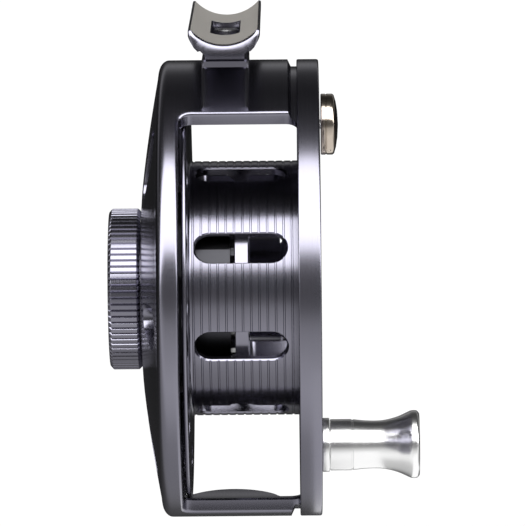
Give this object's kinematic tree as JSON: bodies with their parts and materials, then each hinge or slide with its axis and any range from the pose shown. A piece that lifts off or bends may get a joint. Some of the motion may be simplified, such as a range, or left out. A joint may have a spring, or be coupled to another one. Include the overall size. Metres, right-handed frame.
{
  "type": "fly reel",
  "caption": "Large-arbor fly reel with a sealed disc drag: a ported frame hanging from its foot, a palming-rim spool with a crank handle and counterweight, and a knurled drag knob.",
  "frame": {"origin": "The middle of the foot's saddle, on the flat strip that rests on the rod's reel seat.", "axes": "+X runs along the spool's axis towards the crank handle, -Y is the side where the line leaves, +Z points out of the foot's saddle towards the rod."},
  "size_m": [0.0655, 0.0964, 0.1062],
  "materials": {
    "anodised": "gunmetal anodised, fine turning lines",
    "foot_metal": "gunmetal anodised, saddle blasted bare",
    "polished_aluminium": "polished",
    "polished_nickel": "polished nickel",
    "steel": "machined stainless steel",
    "black_anodised": "black anodised",
    "dark_steel": "blackened",
    "brass": "machined",
    "bronze": "sintered bronze",
    "carbon": "woven carbon composite",
    "rubber": "matte nitrile"
  },
  "bodies": {
    "frame_assembly": {"frame": "anodised", "reel_foot": "foot_metal", "foot_screw_front": "steel", "foot_screw_rear": "steel", "drag_housing": "black_anodised", "housing_screw_1": "steel", "housing_screw_2": "steel", "housing_screw_3": "steel", "spindle": "steel", "retainer_oring": "rubber", "knob_screw": "steel", "knob_seal": "rubber", "drag_spring_1": "steel", "drag_spring_2": "steel", "stator_disc": "steel", "friction_disc_1": "carbon", "friction_disc_2": "carbon", "drag_cover": "black_anodised", "cover_clip": "steel", "shaft_seal": "rubber", "pawl_pin": "steel", "pawl_spring": "steel", "detent_spring": "steel"},
    "knob": {"drag_knob": "anodised"},
    "adjuster": {"adjuster_screw": "brass"},
    "pressure": {"pressure_spider": "steel", "pressure_plate": "steel"},
    "detent": {"detent_plunger": "steel"},
    "rotor": {"drag_rotor": "steel", "roller_clutch": "dark_steel"},
    "drive": {"drive_hub": "steel"},
    "pawl": {"click_pawl": "steel"},
    "bearing_core": {"rear_bearing_inner": "steel", "front_bearing_inner": "steel", "bearing_spacer": "dark_steel"},
    "spool_assembly": {"spool": "anodised", "hub_cap": "anodised", "rear_bearing_cage": "brass", "rear_bearing_outer": "steel", "front_bearing_cage": "brass", "front_bearing_outer": "steel", "click_gear": "steel", "counterweight": "polished_nickel", "counterweight_screw": "steel", "handle_post": "steel", "handle_collar": "polished_aluminium", "handle_screw": "steel"},
    "grip": {"handle_grip": "polished_aluminium", "handle_bush": "bronze"}
  },
  "joints": [
    {"name": "drag_adjust", "type": "hinge", "parent": "frame_assembly", "child": "knob", "pos_m": [0, 0, -0.055], "axis": [-1, 0, 0], "range_deg": [0, 330]},
    {"name": "adjuster_travel", "type": "slide", "parent": "knob", "child": "adjuster", "axis": [1, 0, 0], "range_m": [0, 0.00091]},
    {"name": "pressure_travel", "type": "slide", "parent": "frame_assembly", "child": "pressure", "axis": [1, 0, 0], "range_m": [0, 0.00091], "deforming": ["drag_spring_1", "drag_spring_2"]},
    {"name": "detent_press", "type": "slide", "parent": "frame_assembly", "child": "detent", "axis": [1, 0, 0], "range_m": [0, 0.0005], "stiffness_N_per_m": 2000, "deforming": ["detent_spring"]},
    {"name": "spool_release", "type": "slide", "parent": "frame_assembly", "child": "bearing_core", "axis": [1, 0, 0], "range_m": [0, 0.04], "deforming": ["retainer_oring"]},
    {"name": "spool_spin", "type": "hinge", "parent": "bearing_core", "child": "spool_assembly", "pos_m": [0, 0, -0.055], "axis": [-1, 0, 0], "continuous": true},
    {"name": "handle_spin", "type": "hinge", "parent": "spool_assembly", "child": "grip", "pos_m": [0, 0.01187, -0.0911], "axis": [1, 0, 0], "continuous": true},
    {"name": "drive_spin", "type": "hinge", "parent": "frame_assembly", "child": "drive", "pos_m": [0, 0, -0.055], "axis": [-1, 0, 0], "continuous": true},
    {"name": "rotor_spin", "type": "hinge", "parent": "frame_assembly", "child": "rotor", "pos_m": [0, 0, -0.055], "axis": [-1, 0, 0], "continuous": true},
    {"name": "pawl_swing", "type": "hinge", "parent": "frame_assembly", "child": "pawl", "pos_m": [0, -0.00419, -0.03821], "axis": [1, 0, 0], "range_deg": [0, 10], "stiffness_Nm_per_rad": 0.002, "deforming": ["pawl_spring"]}
  ],
  "couplings": [
    {"joint": "adjuster_travel", "follows": "drag_adjust", "m_per_rad": 0.00015626},
    {"joint": "pressure_travel", "follows": "drag_adjust", "m_per_rad": 0.00015626},
    {"joint": "drive_spin", "follows": "spool_spin", "ratio": 1}
  ]
}
